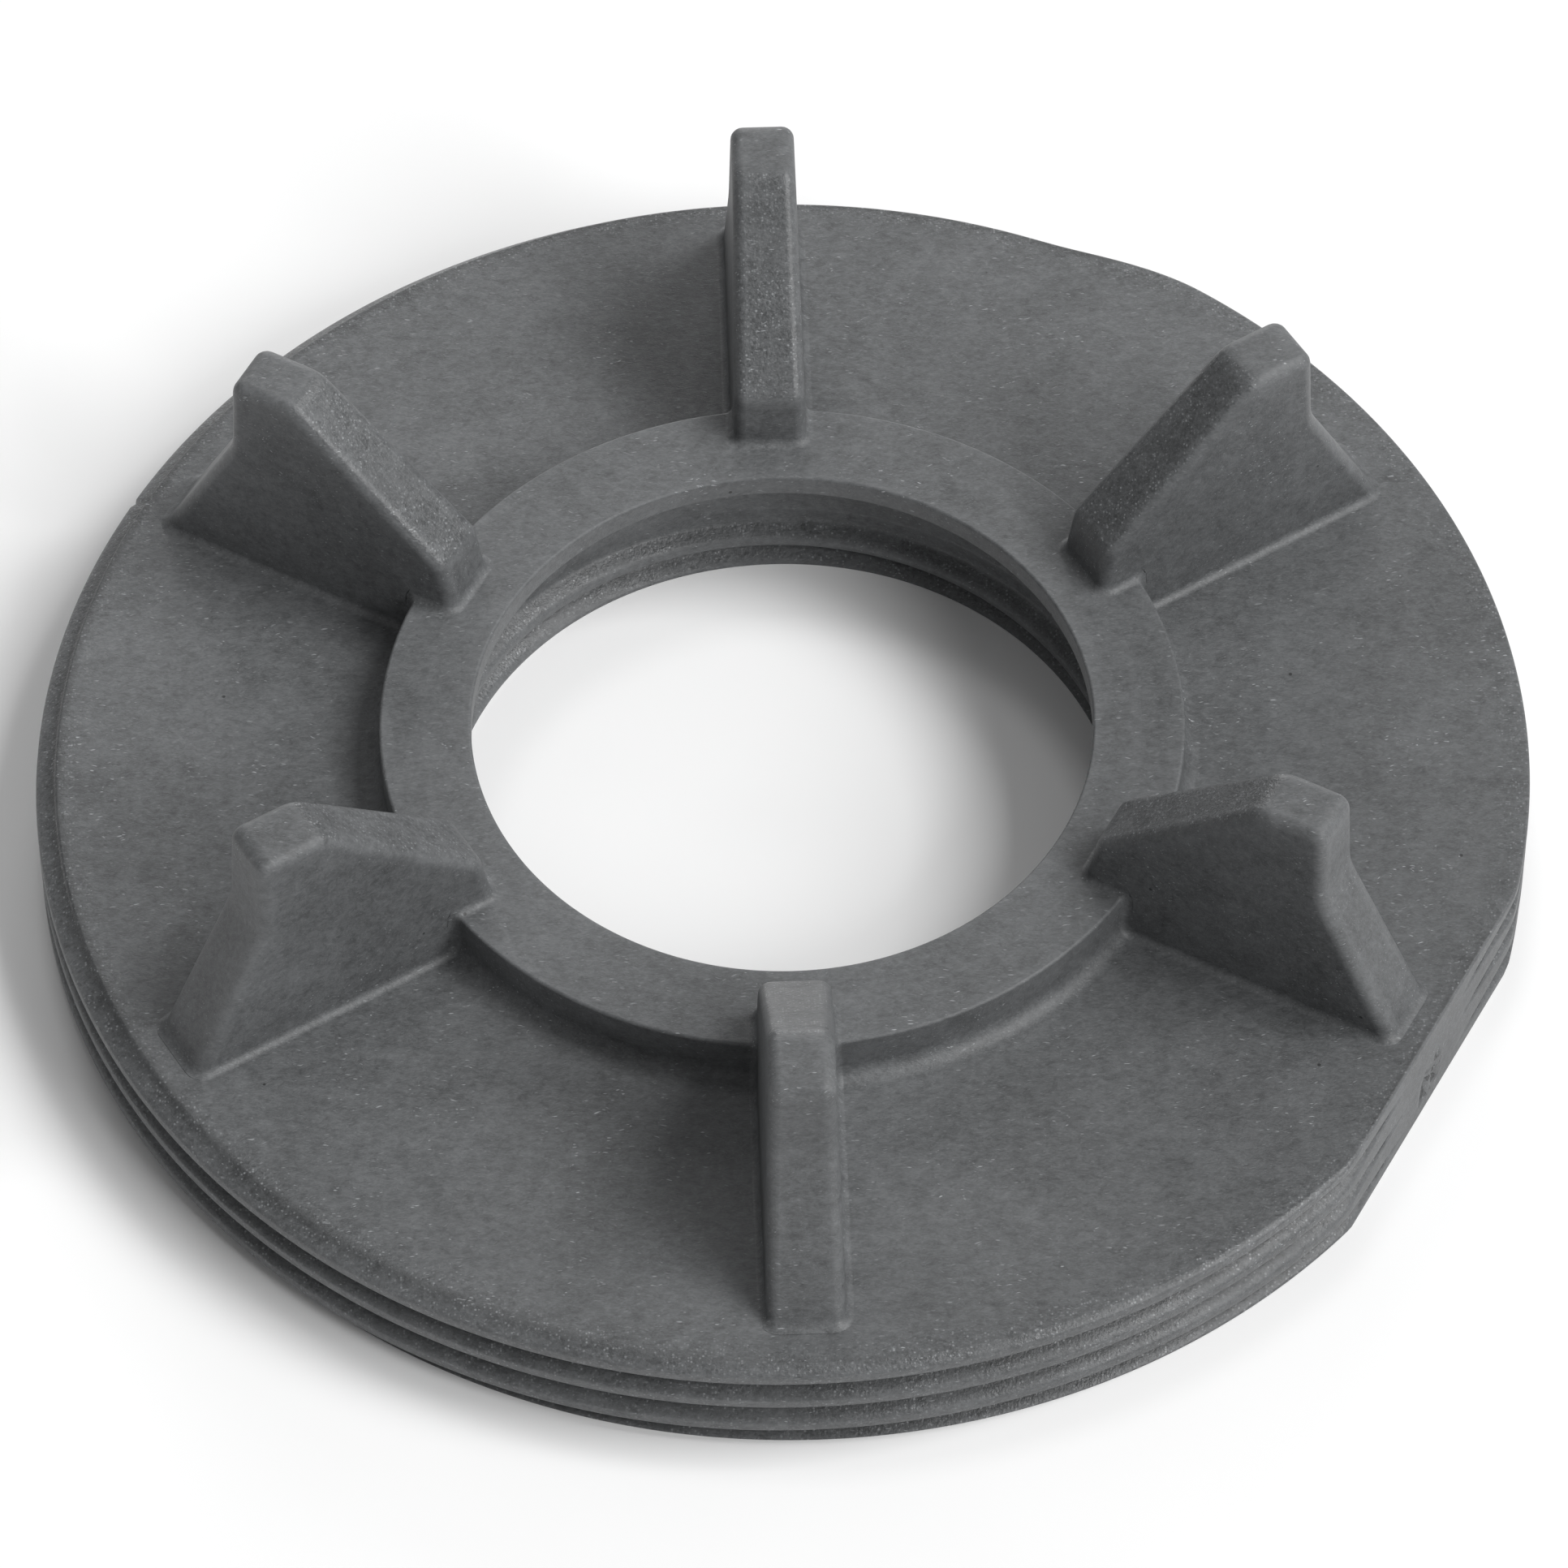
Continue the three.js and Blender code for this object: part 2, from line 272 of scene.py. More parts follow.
def ridge_rise(thread, unrolled):
    """The ridge's height as a share of the full depth, near its start."""
    share = np.clip((thread["start"] - unrolled) / START_TAPER, 0, 1)
    return share * share * (3 - 2 * share)


def thread_radius(thread, angle, height, limit):
    """The threaded wall's radius at an angle and a height."""
    turns = (height - thread["height"]) / PITCH - (angle - thread["height_angle"]) / TURN
    nearest = np.round(turns)
    along = np.abs(turns - nearest) * PITCH
    outward = 1.0 if thread["crest"] > thread["root"] else -1.0
    full = abs(thread["crest"] - thread["root"])
    depth = full * ridge_rise(thread, angle + TURN * nearest)
    flank = (thread["flat"] / 2 + full * FLANK_TAN - along) / FLANK_TAN
    flank = flank - (full - depth)      # a low stretch of ridge is narrower too
    rise = soft_max(soft_min(flank, depth, THREAD_SOFTNESS), 0.0 * flank, THREAD_SOFTNESS)
    if outward < 0:                     # the bore's wall has a land below, and ends at its root above
        land = full - np.maximum(height - BORE_LAND_HEIGHT, 0) / FLANK_TAN
        rise = soft_max(rise, land, THREAD_SOFTNESS)
        rise = rise * np.clip((BORE_THREAD_TOP - height) / THREAD_SOFTNESS, 0, 1)
    radius = thread["root"] + outward * rise
    return soft_min(radius, limit, THREAD_SOFTNESS) if outward > 0 else radius


def thread_rows(thread, angle, limit, low, high):
    """Heights of the rows of vertices up a threaded wall at one angle, following its corners."""
    full = abs(thread["crest"] - thread["root"])
    cut = np.clip(limit - thread["root"], 0, full) if thread["crest"] > thread["root"] else full
    crest_corner = thread["flat"] / 2 + (full - cut) * FLANK_TAN
    root_corner = thread["flat"] / 2 + full * FLANK_TAN
    s = THREAD_SOFTNESS * 0.6
    half = [0.0, crest_corner - s, crest_corner, crest_corner + s,
            (crest_corner + root_corner) / 2, root_corner - s, root_corner, PITCH / 2]
    offsets = np.sort(np.clip([-h for h in half[:0:-1]] + half[:-1], -PITCH / 2, PITCH / 2))
    base = thread["height"] + PITCH * (angle - thread["height_angle"]) / TURN
    first = math.floor((low - thread["height"]) / PITCH) - 3
    last = math.ceil((high - thread["height"]) / PITCH) + 3
    rows = [base + PITCH * turn + offset for turn in range(first, last) for offset in offsets]
    return np.clip(rows, low, high)


def round_over(radius):
    """Heights of the rows round an edge of a radius, and how far each lies back from the wall."""
    turn = np.radians(np.linspace(0, 90, 5))
    return radius * (1 - np.cos(turn)), radius * (1 - np.sin(turn))


def threaded_wall(thread, angle, low, high, limit):
    """(radius, height) up the rim's wall at one angle, with both ends rounded over."""
    rows, back = round_over(UNDER_EDGE)
    top_rows, top_back = round_over(EDGE)
    middle = thread_rows(thread, angle, limit, low + UNDER_EDGE, high - EDGE)
    chamfer = thread["crest"] - RIM_FOOT_RADIUS
    middle = np.sort(np.append(middle, [low + chamfer / 2, low + chamfer]))
    heights = np.concatenate([low + rows[:-1], middle, (high - top_rows[:-1])[::-1]])
    setback = np.concatenate([back[:-1], np.zeros(len(middle)), top_back[:-1][::-1]])
    limits = np.minimum(limit, RIM_FOOT_RADIUS + heights - low)
    return thread_radius(thread, angle, heights, limits) - setback, heights


# ---- ring zones: where each meets its neighbour, as points of radius and height ----
LIP_SEAM = [(RELIEF_RADIUS, LIP_LOW), (RELIEF_RADIUS, COLLAR_TOP)]
BORE_SEAM = [(RELIEF_RADIUS, BORE_THREAD_TOP), (THREAD_SEAT_RADIUS, BORE_THREAD_TOP),
             (THREAD_SEAT_RADIUS, 0.0)]
HUB_SEAM = [(SLEEVE_RADIUS, WEB_TOP), (SLEEVE_RADIUS + UNDER_FILLET, WEB_LOW)]
RIM_SEAM = [(RIM_INNER_RADIUS, WEB_TOP), (RIM_INNER_RADIUS - UNDER_FILLET, WEB_LOW)]


def bore_lip():
    middle = (RELIEF_RADIUS + LIP_RADIUS) / 2
    loop = [(RELIEF_RADIUS, COLLAR_TOP), (middle, COLLAR_TOP)]
    loop += arc((LIP_RADIUS + EDGE, COLLAR_TOP - EDGE), EDGE, 90, 180, 5)
    loop += arc((LIP_RADIUS + EDGE, LIP_LOW + EDGE), EDGE, 180, 270, 5)
    loop += [(middle, LIP_LOW), (RELIEF_RADIUS, LIP_LOW)]
    return plain_ring("bore_lip_moulding", loop, LIP_SEAM)


def hub_collar():
    foot_centre = (COLLAR_RADIUS + COLLAR_FOOT_FILLET, WEB_TOP + COLLAR_FOOT_FILLET)
    relief_middle = (RELIEF_RADIUS, (BORE_THREAD_TOP + LIP_LOW) / 2)
    loop = [BORE_SEAM[0], relief_middle] + LIP_SEAM + [((RELIEF_RADIUS + COLLAR_RADIUS) / 2, COLLAR_TOP)]
    loop += arc((COLLAR_RADIUS - COLLAR_EDGE, COLLAR_TOP - COLLAR_EDGE), COLLAR_EDGE, 90, 0, 6)
    loop += arc(foot_centre, COLLAR_FOOT_FILLET, 180, 270, 10)
    loop += HUB_SEAM
    loop += arc((SLEEVE_RADIUS + UNDER_FILLET, WEB_LOW - UNDER_FILLET), UNDER_FILLET, 90, 180, 6)[1:]
    loop += arc((SLEEVE_RADIUS - EDGE, EDGE), EDGE, 0, -90, 4)
    loop += BORE_SEAM[:0:-1]
    return plain_ring("hub_collar_moulding", loop[::-1], LIP_SEAM + BORE_SEAM + HUB_SEAM)


def web_disc():
    inner, outer = SLEEVE_RADIUS, RIM_INNER_RADIUS
    steps = 8
    top = [(inner + (outer - inner) * i / steps, WEB_TOP) for i in range(steps + 1)]
    low_inner, low_outer = inner + UNDER_FILLET, outer - UNDER_FILLET
    under = [(low_outer + (low_inner - low_outer) * i / steps, WEB_LOW) for i in range(steps + 1)]
    return plain_ring("web_disc_moulding", (top + under)[::-1], HUB_SEAM + RIM_SEAM)


def rim_marks(angle, height):
    """How deep the rim's wall is marked: torn pits where the gate was cut off, and a nick at the parting."""
    depth = np.zeros(len(height))
    across = math.radians(angle - GATE_ANGLE) * GATE_DISTANCE
    if abs(across) < GATE_PITS_REACH:
        for pit_across, pit_height, pit_depth in GATE_PITS:
            gap = np.hypot(across - pit_across, height - GATE_HEIGHT - pit_height) / GATE_PIT_RADIUS
            depth += pit_depth * np.exp(-gap ** 2)
    if abs(angle - PARTING_ANGLE) < PARTING_REACH:
        depth += PARTING_DEPTH
    return depth


def rim_grain_and_groove_shade(radius, limit):
    """The grain up the rim's wall: coarse on the flanks, polished on the gate flat, and above coarse in the
    grooves, where the colour gets painted shade.
    """
    on_crest = np.abs(radius - RIM_RADIUS) < SHALLOW
    on_flat = radius > limit - SHALLOW
    groove_shade = np.clip((RIM_RADIUS - radius - GROOVE_SHADE_START) / (GROOVE_SHADE_END - GROOVE_SHADE_START), 0, 1)
    flank = GRAIN_COARSE + (GRAIN_GROOVE_SHADE - GRAIN_COARSE) * groove_shade
    return np.where(on_crest, GRAIN_CREST, np.where(on_flat, GRAIN_POLISHED, flank))


def rim_thread():
    inner = RIM_INNER_RADIUS
    sections, grains = [], []
    for column in range(COLUMNS + 1):
        angle = column * TURN / COLUMNS
        limit = float(gate_limit(angle % TURN))
        radius, height = threaded_wall(RIM_THREAD, angle, 0.0, WEB_TOP, limit)
        radius = radius - rim_marks(angle % TURN, height)
        under = [(inner + (radius[0] - inner) * share, 0.0) for share in (0.05, 0.5)]
        loop = under + list(zip(radius, height))
        loop += [(inner + (radius[-1] - inner) * share, WEB_TOP) for share in (0.85, 0.6, 0.3)]
        loop += [(inner, WEB_TOP), (inner - UNDER_FILLET, WEB_LOW)]
        loop += arc((inner - UNDER_FILLET, WEB_LOW - UNDER_FILLET), UNDER_FILLET, 90, 0, 6)[1:]
        loop += [(inner, EDGE)]
        sections.append(loop)
        wall_end = len(under) + len(radius)
        grain = np.full(len(loop), GRAIN_WEB_EDGE)
        grain[:len(under)] = GRAIN_UNDERSIDE
        grain[len(under):wall_end] = rim_grain_and_groove_shade(radius, limit)
        grain[wall_end] = GRAIN_RIM_EDGE
        grains.append(grain)
    return ring_piece("rim_thread_moulding", np.array(sections), RIM_SEAM, np.array(grains))


def bore_thread():
    sections, grains = [], []
    land_flank = (BORE_THREAD["root"] - BORE_THREAD["crest"]) * FLANK_TAN
    for column in range(COLUMNS + 1):
        angle = column * TURN / COLUMNS
        rows, back = round_over(UNDER_EDGE)
        middle = thread_rows(BORE_THREAD, angle, NO_LIMIT, UNDER_EDGE, BORE_THREAD_TOP)
        middle = np.sort(np.append(middle, [BORE_LAND_HEIGHT, BORE_LAND_HEIGHT + land_flank]))
        heights = np.concatenate([rows[:-1], middle])
        setback = np.concatenate([back[:-1], np.zeros(len(middle))])
        radius = thread_radius(BORE_THREAD, angle, heights, NO_LIMIT) + setback
        wall = list(zip(radius, heights))[::-1]
        loop = wall + [(THREAD_SEAT_RADIUS, 0.0), (THREAD_SEAT_RADIUS, BORE_THREAD_TOP)]
        sections.append(loop)
        grain = np.full(len(loop), GRAIN_FINE)
        on_flank = ((radius < BORE_THREAD["root"] - BORE_FLANK_INSET)
                    & (radius > BORE_THREAD["crest"] + BORE_FLANK_INSET))
        grain[:len(wall)] = np.where(on_flank, GRAIN_COARSE, GRAIN_FINE)[::-1]
        grains.append(grain)
    return ring_piece("bore_thread_moulding", np.array(sections), BORE_SEAM, np.array(grains))


# ---- lugs ----
def rounded_outline(corners, steps=10):
    """A polyline through (x, y, rounding radius) corners, its first and last points kept sharp."""
    points = [np.array(corners[0][:2])]
    for before, corner, after in zip(corners, corners[1:], corners[2:]):
        point = np.array(corner[:2])
        to_before = np.array(before[:2]) - point
        to_after = np.array(after[:2]) - point
        to_before /= np.linalg.norm(to_before)
        to_after /= np.linalg.norm(to_after)
        half = math.acos(np.dot(to_before, to_after)) / 2
        middle = (to_before + to_after) / np.linalg.norm(to_before + to_after)
        centre = point + middle * corner[2] / math.sin(half)
        start = point + to_before * corner[2] / math.tan(half) - centre
        end = point + to_after * corner[2] / math.tan(half) - centre
        start_angle = math.atan2(start[1], start[0])
        sweep = (math.atan2(end[1], end[0]) - start_angle + math.pi) % (2 * math.pi) - math.pi
        for i in range(steps + 1):
            a = start_angle + sweep * i / steps
            points.append(centre + corner[2] * np.array([math.cos(a), math.sin(a)]))
    points.append(np.array(corners[-1][:2]))
    return np.array(points)


def polygon_distance(points, polygon):
    """Signed distance of 2-D points to a closed polygon, negative inside."""
    a = polygon
    b = np.roll(polygon, -1, axis=0)
    edge = b - a
    to_point = points[:, None, :] - a[None, :, :]
    share = np.clip((to_point * edge).sum(axis=2) / (edge ** 2).sum(axis=1), 0, 1)
    gap = to_point - share[:, :, None] * edge
    distance = np.sqrt((gap ** 2).sum(axis=2).min(axis=1))
    x, y = points[:, 0][:, None], points[:, 1][:, None]
    crosses = (a[:, 1] > y) != (b[:, 1] > y)
    rise = np.where(edge[:, 1] == 0, 1.0, edge[:, 1])
    left = x < a[:, 0] + (y - a[:, 1]) * edge[:, 0] / rise
    inside = ((crosses & left).sum(axis=1) % 2) == 1
    return np.where(inside, -distance, distance)


def round_join(a, b, radius):
    """Union of two solids given by distances, with a fillet between them."""
    outside = np.hypot(np.maximum(radius - a, 0), np.maximum(radius - b, 0))
    return np.maximum(np.minimum(a, b), radius) - outside


def round_cut(a, b, radius):
    """What two solids have in common, with its edge rounded."""
    return -round_join(-a, -b, radius)


def lug_side_polygon():
    outline = rounded_outline(LUG_CORNERS)
    foot_run = (LUG_CORNERS[-1][0] - LUG_CORNERS[-2][0]) / (LUG_CORNERS[-2][1] - LUG_CORNERS[-1][1])
    low = WEB_TOP - LUG_DEPTH
    return np.vstack([outline, [(LUG_FOOT_RADIUS + foot_run * LUG_DEPTH, low), (LUG_INNER_RADIUS, low)]])


LUG_POLYGON = lug_side_polygon()


def lug_half_width(height):
    """A lug's sides draft inwards towards its top."""
    share = (height - WEB_TOP) / (LUG_TOP - WEB_TOP)
    return LUG_HALF_BASE + (LUG_HALF_TOP - LUG_HALF_BASE) * share


def lug_distance(p):
    """Distance to a lug along +X, with its edges rounded."""
    side = polygon_distance(p[:, [0, 2]], LUG_POLYGON)
    return round_cut(side, np.abs(p[:, 1]) - lug_half_width(p[:, 2]), LUG_EDGE)


def hub_distance(p):
    """Distance to the web and the collar that a lug stands on."""
    radius = np.hypot(p[:, 0], p[:, 1])
    collar = round_cut(p[:, 2] - COLLAR_TOP, radius - COLLAR_RADIUS, COLLAR_EDGE)
    return round_join(p[:, 2] - WEB_TOP, collar, COLLAR_FOOT_FILLET) + LUG_SINK


def lug_surface(p):
    """Distance to a lug together with what it stands on, with the fillet between them."""
    return round_join(lug_distance(p), hub_distance(p), LUG_FILLET)


def gradient(field, p, step=0.01):
    """The slope of a distance field at each point."""
    slopes = []
    for axis in np.eye(3) * step:
        slopes.append((field(p + axis) - field(p - axis)) / (2 * step))
    return np.stack(slopes, axis=1)


def unit(vectors):
    return vectors / np.maximum(np.linalg.norm(vectors, axis=-1, keepdims=True), 1e-9)


def settle(p, field, rounds=6):
    """Moves points onto the surface where the field is zero."""
    flattest = 0.05                     # keeps a step short where the field is nearly level
    for _ in range(rounds):
        slope = gradient(field, p)
        steepness = np.maximum((slope ** 2).sum(axis=1), flattest)
        p = p - field(p)[:, None] * slope / steepness[:, None]
    return p


def resample(path, count):
    """Evenly spaced points along a polyline, with the direction of travel at each."""
    length = np.concatenate([[0], np.cumsum(np.linalg.norm(np.diff(path, axis=0), axis=1))])
    at = np.linspace(0, length[-1], count)
    points = np.stack([np.interp(at, length, path[:, k]) for k in range(2)], axis=1)
    direction = unit(np.gradient(points, axis=0))
    return points, direction


LUG_STATIONS = 151              # along the lug's side view
SIDE_ROWS = 12                  # up a side, round an edge, across the flat top and down the fillet
EDGE_ROWS = 6
STRIP_ROWS = 6
FILLET_ROWS = 7
TIP_SHARE = 0.2                 # the last share of the stations, where the rows close up towards the foot
FOOT_TRIM = (-0.28, 0.55)       # the foot's end, in fillets, back along the slope to where the fillet starts


def lug_base_path(start_radius, end_radius):
    """Where a lug's side meets the collar and the web, as radius and height."""
    edge = arc((COLLAR_RADIUS - COLLAR_EDGE, COLLAR_TOP - COLLAR_EDGE), COLLAR_EDGE, 90, 0, 4)
    foot_centre = (COLLAR_RADIUS + COLLAR_FOOT_FILLET, WEB_TOP + COLLAR_FOOT_FILLET)
    foot = arc(foot_centre, COLLAR_FOOT_FILLET, 180, 270, 6)
    return np.array([(start_radius, COLLAR_TOP)] + edge + foot + [(end_radius, WEB_TOP)])


def lug_grid():
    """Points over one half of a lug, from its side's foot up over its edge to the middle of its top."""
    outline = rounded_outline(LUG_CORNERS)
    outline[0] += (0, LUG_FILLET)
    outline[-1] += (FOOT_TRIM[0] * LUG_FILLET, FOOT_TRIM[1] * LUG_FILLET)
    outer, direction = resample(outline, LUG_STATIONS)
    normal = np.stack([-direction[:, 1], direction[:, 0]], axis=1)
    inset = outer - normal * LUG_EDGE
    past_tip = np.arange(LUG_STATIONS) - (1 - TIP_SHARE) * LUG_STATIONS
    reach = np.clip(past_tip / (TIP_SHARE * LUG_STATIONS), 0, 1) ** 2
    inset -= direction * (reach * (LUG_EDGE + LUG_FILLET) / 2)[:, None]
    base, base_direction = resample(lug_base_path(inset[0, 0], inset[-1, 0]), LUG_STATIONS)
    base_normal = np.stack([-base_direction[:, 1], base_direction[:, 0]], axis=1)
    foot = base + base_normal * LUG_FILLET
    rows = []
    for i in range(SIDE_ROWS):
        share = i / SIDE_ROWS
        side = foot * (1 - share) + inset * share
        rows.append((side, lug_half_width(side[:, 1])))
    for i in range(EDGE_ROWS + 1):
        turn = math.radians(90 * i / EDGE_ROWS)
        side = inset + (outer - inset) * math.sin(turn)
        rows.append((side, lug_half_width(side[:, 1]) - LUG_EDGE * (1 - math.cos(turn))))
    half_strip = STRIP_ROWS // 2
    for i in range(1, half_strip + 1):
        rows.append((outer, (lug_half_width(outer[:, 1]) - LUG_EDGE) * (1 - i / half_strip)))
    return np.stack([np.stack([side[:, 0], across, side[:, 1]], axis=1) for side, across in rows], axis=1)


def lug_mesh():
    """A lug along +X: vertices, faces, which faces are hidden, normals and grain."""
    half = lug_grid()
    mirrored = half[:, -2::-1] * (1, -1, 1)
    cap = np.concatenate([half, mirrored], axis=1)
    stations, across = cap.shape[:2]
    points = settle(cap.reshape(-1, 3), lug_surface)
    index = np.arange(stations * across).reshape(stations, across)
    faces = [(index[i, j], index[i, j + 1], index[i + 1, j + 1], index[i + 1, j])
             for i in range(stations - 1) for j in range(across - 1)]
    rim = np.concatenate([index[:, 0], index[-1, 1:], index[-2::-1, -1], index[0, -2:0:-1]])
    top = points[rim]
    lug_normal = unit(gradient(lug_distance, top))
    base_normal = unit(gradient(hub_distance, top))
    rings = [rim]
    vertices = [points]
    total = len(points)
    for row in range(1, FILLET_ROWS + 1):
        turn = row / FILLET_ROWS * math.pi / 2
        between = unit(lug_normal * math.cos(turn) + base_normal * math.sin(turn))
        ring = settle(top + LUG_FILLET * (lug_normal - between), lug_surface, 3)
        vertices.append(ring)
        rings.append(np.arange(total, total + len(ring)))
        total += len(ring)
    sunk = vertices[-1] + 0.1 * lug_normal - 0.4 * base_normal     # a skirt just inside the moulding
    vertices.append(sunk)
    rings.append(np.arange(total, total + len(sunk)))
    points = np.vstack(vertices)
    size = len(rim)
    for upper, lower in zip(rings, rings[1:]):
        faces += [(upper[k], upper[(k + 1) % size], lower[(k + 1) % size], lower[k]) for k in range(size)]
    shown = len(faces) - size
    faces += under_faces(rings[-1], stations, across)
    hidden = [k >= shown for k in range(len(faces))]
    normals = unit(gradient(lug_surface, points))
    slope_faces = (normals[:, 2] > 0.6) & (normals[:, 0] < -0.3) & (points[:, 2] > COLLAR_TOP + 1)
    grain = np.where(slope_faces, GRAIN_COARSE, GRAIN_LUG)
    return points, [tuple(int(v) for v in face) for face in faces], hidden, normals, grain


def under_faces(loop, stations, across):
    """Closes a lug's underside, inside the moulding, side to side."""
    right = loop[:stations]
    outer_end = loop[stations - 1:stations + across - 1]
    left = loop[stations + across - 2:2 * stations + across - 2][::-1]
    inner_end = np.concatenate([loop[2 * stations + across - 3:], loop[:1]])
    faces = [(right[i], right[i + 1], left[i + 1], left[i]) for i in range(stations - 1)]
    faces.append(tuple(outer_end))
    faces.append(tuple(inner_end))
    return faces


def clean_mesh(points, faces, hidden, normals, grain):
    """Joins points that coincide and drops the faces that have no area."""
    _, first, inverse = np.unique(np.round(points, 5), axis=0, return_index=True, return_inverse=True)
    inverse = inverse.reshape(-1)
    kept_faces, kept_flags = [], []
    for face, flag in zip(faces, hidden):
        joined = [int(inverse[v]) for v in face]
        joined = [v for i, v in enumerate(joined) if v != joined[i - 1]]
        if len(set(joined)) == len(joined) > 2:
            kept_faces.append(joined)
            kept_flags.append(flag)
    return points[first], kept_faces, kept_flags, normals[first], grain[first]


def turned(vectors, degrees):
    """Vectors turned about the bore's axis."""
    c, s = math.cos(math.radians(degrees)), math.sin(math.radians(degrees))
    return vectors @ np.array([[c, s, 0], [-s, c, 0], [0, 0, 1]])


def wrench_lugs():
    points, faces, hidden, normals, grain = clean_mesh(*lug_mesh())
    return [make_object(f"wrench_lug_moulding_{i + 1}", turned(points, angle), faces, hidden, grain,
                        turned(normals, angle)) for i, angle in enumerate(LUG_ANGLES)]


# ---- ribs under the web ----
def under_ribs():
    """Straight ribs with rounded lower edges, their ends inside the hub and the rim."""
    inner, outer = SLEEVE_RADIUS - RIB_SINK, RIM_INNER_RADIUS + RIB_SINK
    top = WEB_LOW + RIB_SINK
    half = [(RIB_HALF_WIDTH, top)] + arc((RIB_HALF_WIDTH - RIB_EDGE, RIB_EDGE), RIB_EDGE, 0, -90, 6)
    section = half + [(-y, z) for y, z in half[::-1]]
    stations = np.linspace(inner, outer, 40)
    points = np.array([(x, y, z) for x in stations for y, z in section])
    rows = len(section)
    faces = []
    for i in range(len(stations) - 1):
        for j in range(rows):
            a, b = i * rows + j, i * rows + (j + 1) % rows
            faces.append((a, a + rows, b + rows, b))
    faces.append(tuple(range(rows)))
    faces.append(tuple(range(len(points) - 1, len(points) - 1 - rows, -1)))
    hidden = [False] * len(faces)
    return [make_object(f"under_rib_moulding_{i + 1}", turned(points, angle), faces, hidden)
            for i, angle in enumerate(LUG_ANGLES)]


# ---- the plastic ----
class Nodes:
    """Short calls for building a material's node tree."""

    def __init__(self, name):
        self.material = bpy.data.materials.new(name)
        self.material.use_nodes = True
        self.tree = self.material.node_tree
        self.shader = self.tree.nodes["Principled BSDF"]

    def add(self, kind, links=None, **settings):
        node = self.tree.nodes.new(kind)
        for key, value in settings.items():
            setattr(node, key, value)
        for socket, value in (links or {}).items():
            self.feed(node.inputs[socket], value)
        return node

    def feed(self, socket, value):
        if isinstance(value, bpy.types.NodeSocket):
            self.tree.links.new(value, socket)
        else:
            socket.default_value = value

    def math(self, operation, a, b=0.0, clamp=False):
        return self.add("ShaderNodeMath", {0: a, 1: b}, operation=operation, use_clamp=clamp).outputs[0]

    def span(self, value, low, high, to_low=0.0, to_high=1.0):
        links = {"Value": value, "From Min": low, "From Max": high, "To Min": to_low, "To Max": to_high}
        return self.add("ShaderNodeMapRange", links, clamp=True).outputs[0]

    def noise(self, vector, scale, detail=3.0, roughness=0.55, distortion=0.0):
        links = {"Vector": vector, "Scale": scale, "Detail": detail, "Roughness": roughness,
                 "Distortion": distortion}
        return self.add("ShaderNodeTexNoise", links).outputs["Fac"]

    def cells(self, vector, scale):
        node = self.add("ShaderNodeTexVoronoi", {"Vector": vector, "Scale": scale})
        tone = self.add("ShaderNodeSeparateColor", {0: node.outputs["Color"]})
        return node.outputs["Distance"], tone.outputs[0]

    def mapping(self, vector, rotation=(0, 0, 0), scale=(1, 1, 1), location=(0, 0, 0)):
        links = {"Vector": vector, "Rotation": rotation, "Scale": scale, "Location": location}
        return self.add("ShaderNodeMapping", links).outputs[0]

    def mix(self, factor, a, b):
        node = self.add("ShaderNodeMix", data_type="RGBA")
        self.feed(node.inputs["Factor"], factor)
        self.feed(node.inputs["A"], a)
        self.feed(node.inputs["B"], b)
        return node.outputs["Result"]

    def attribute(self, name):
        return self.add("ShaderNodeAttribute", attribute_name=name).outputs["Fac"]


def grey(level):
    """A neutral, slightly cool grey."""
    return (level * 0.965, level, level * 1.03, 1.0)


# The fibres lie in bundles: direction in degrees, and a shift that sets their pattern apart.
FIBRE_BUNDLES = [(12.0, 0.0), (38.0, 31.0), (-24.0, 57.0), (84.0, 83.0), (127.0, 19.0)]
FIBRE_STRETCH = (1.7, 8.5, 8.5)  # cells to the millimetre, along and across a fibre
GATE_POINT = (GATE_DISTANCE * math.cos(math.radians(GATE_ANGLE)),
              GATE_DISTANCE * math.sin(math.radians(GATE_ANGLE)), GATE_HEIGHT)


def fibre_layers(n, mm):
    """How far a point lies on a fibre near the surface, and on one that lies bare and catches the light."""
    sway = n.add("ShaderNodeTexNoise", {"Vector": mm, "Scale": 0.7, "Detail": 1.0}).outputs["Color"]
    sway = n.add("ShaderNodeVectorMath", {0: sway, 3: 0.9}, operation="SCALE").outputs[0]
    swayed = n.add("ShaderNodeVectorMath", {0: mm, 1: sway}, operation="ADD").outputs[0]
    pale = bare = dark = 0.0
    for angle, shift in FIBRE_BUNDLES:
        along = n.mapping(swayed, rotation=(0, 0, math.radians(angle)), scale=FIBRE_STRETCH,
                          location=(shift, shift, shift))
        distance, tone = n.cells(along, 1.0)
        body = n.span(distance, 0.2, 0.46, 1.0, 0.0)
        pale = n.math("MAXIMUM", pale, n.math("MULTIPLY", body, n.span(tone, 0.5, 1.0)))
        bare = n.math("MAXIMUM", bare, n.math("MULTIPLY", body, n.span(tone, 0.984, 0.999)))
        dark = n.math("MAXIMUM", dark, n.math("MULTIPLY", body, n.span(tone, 0.3, 0.05)))
    return pale, bare, dark


